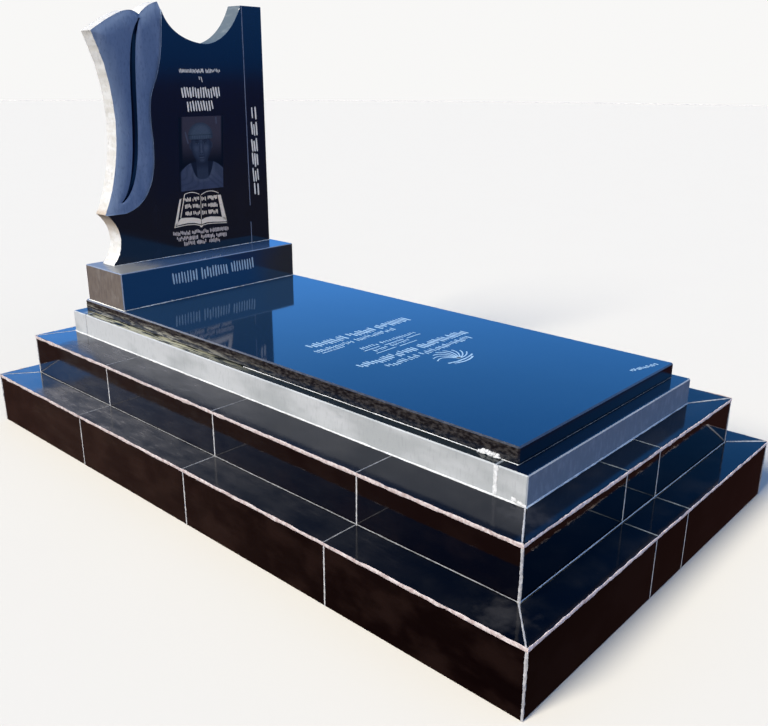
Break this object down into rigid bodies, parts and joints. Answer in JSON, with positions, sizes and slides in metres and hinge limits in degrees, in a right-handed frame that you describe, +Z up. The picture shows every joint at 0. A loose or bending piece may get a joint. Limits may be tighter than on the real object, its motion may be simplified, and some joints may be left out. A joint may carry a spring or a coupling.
{
  "type": "headstone",
  "caption": "Upright granite headstone with carved leaves and a hollowed top, on a block, a grave ledger, a kerb and a stepped plinth faced with black tiles.",
  "frame": {"origin": "on the ground under the middle of the lower step", "axes": "+Z up, +Y towards the headstone, +X to the right as seen from the foot of the grave"},
  "size_m": [1.392, 2.4, 1.5442],
  "materials": {
    "polished_granite": "black granite polished to a mirror, the carved leaves honed grey, the slab's sawn edges pale and rough",
    "honed_granite": "grey honed sides with a dark polished top",
    "black_glazed_tile": "glossy black glaze with a raw pinkish edge along each tread",
    "cast_concrete": "grey cast concrete, seen only through the joints"
  },
  "bodies": {
    "root": {"headstone": "polished_granite", "headstone_base": "polished_granite", "kerb_foot": "honed_granite", "kerb_head": "honed_granite", "kerb_left": "honed_granite", "kerb_right": "honed_granite", "ledger_slab": "polished_granite", "lower_riser_foot_1": "black_glazed_tile", "lower_riser_foot_2": "black_glazed_tile", "lower_riser_foot_3": "black_glazed_tile", "lower_riser_head": "black_glazed_tile", "lower_riser_left_1": "black_glazed_tile", "lower_riser_left_2": "black_glazed_tile", "lower_riser_left_3": "black_glazed_tile", "lower_riser_left_4": "black_glazed_tile", "lower_riser_right_1": "black_glazed_tile", "lower_riser_right_2": "black_glazed_tile", "lower_riser_right_3": "black_glazed_tile", "lower_riser_right_4": "black_glazed_tile", "lower_step_core": "cast_concrete", "lower_tread_foot_1": "black_glazed_tile", "lower_tread_foot_2": "black_glazed_tile", "lower_tread_foot_3": "black_glazed_tile", "lower_tread_head": "black_glazed_tile", "lower_tread_left_1": "black_glazed_tile", "lower_tread_left_2": "black_glazed_tile", "lower_tread_left_3": "black_glazed_tile", "lower_tread_left_4": "black_glazed_tile", "lower_tread_right_1": "black_glazed_tile", "lower_tread_right_2": "black_glazed_tile", "lower_tread_right_3": "black_glazed_tile", "lower_tread_right_4": "black_glazed_tile", "upper_riser_foot_1": "black_glazed_tile", "upper_riser_foot_2": "black_glazed_tile", "upper_riser_foot_3": "black_glazed_tile", "upper_riser_head": "black_glazed_tile", "upper_riser_left_1": "black_glazed_tile", "upper_riser_left_2": "black_glazed_tile", "upper_riser_left_3": "black_glazed_tile", "upper_riser_left_4": "black_glazed_tile", "upper_riser_right_1": "black_glazed_tile", "upper_riser_right_2": "black_glazed_tile", "upper_riser_right_3": "black_glazed_tile", "upper_riser_right_4": "black_glazed_tile", "upper_step_core": "cast_concrete", "upper_tread_foot_1": "black_glazed_tile", "upper_tread_foot_2": "black_glazed_tile", "upper_tread_foot_3": "black_glazed_tile", "upper_tread_head": "black_glazed_tile", "upper_tread_left_1": "black_glazed_tile", "upper_tread_left_2": "black_glazed_tile", "upper_tread_left_3": "black_glazed_tile", "upper_tread_left_4": "black_glazed_tile", "upper_tread_right_1": "black_glazed_tile", "upper_tread_right_2": "black_glazed_tile", "upper_tread_right_3": "black_glazed_tile", "upper_tread_right_4": "black_glazed_tile"}
  },
  "joints": []
}
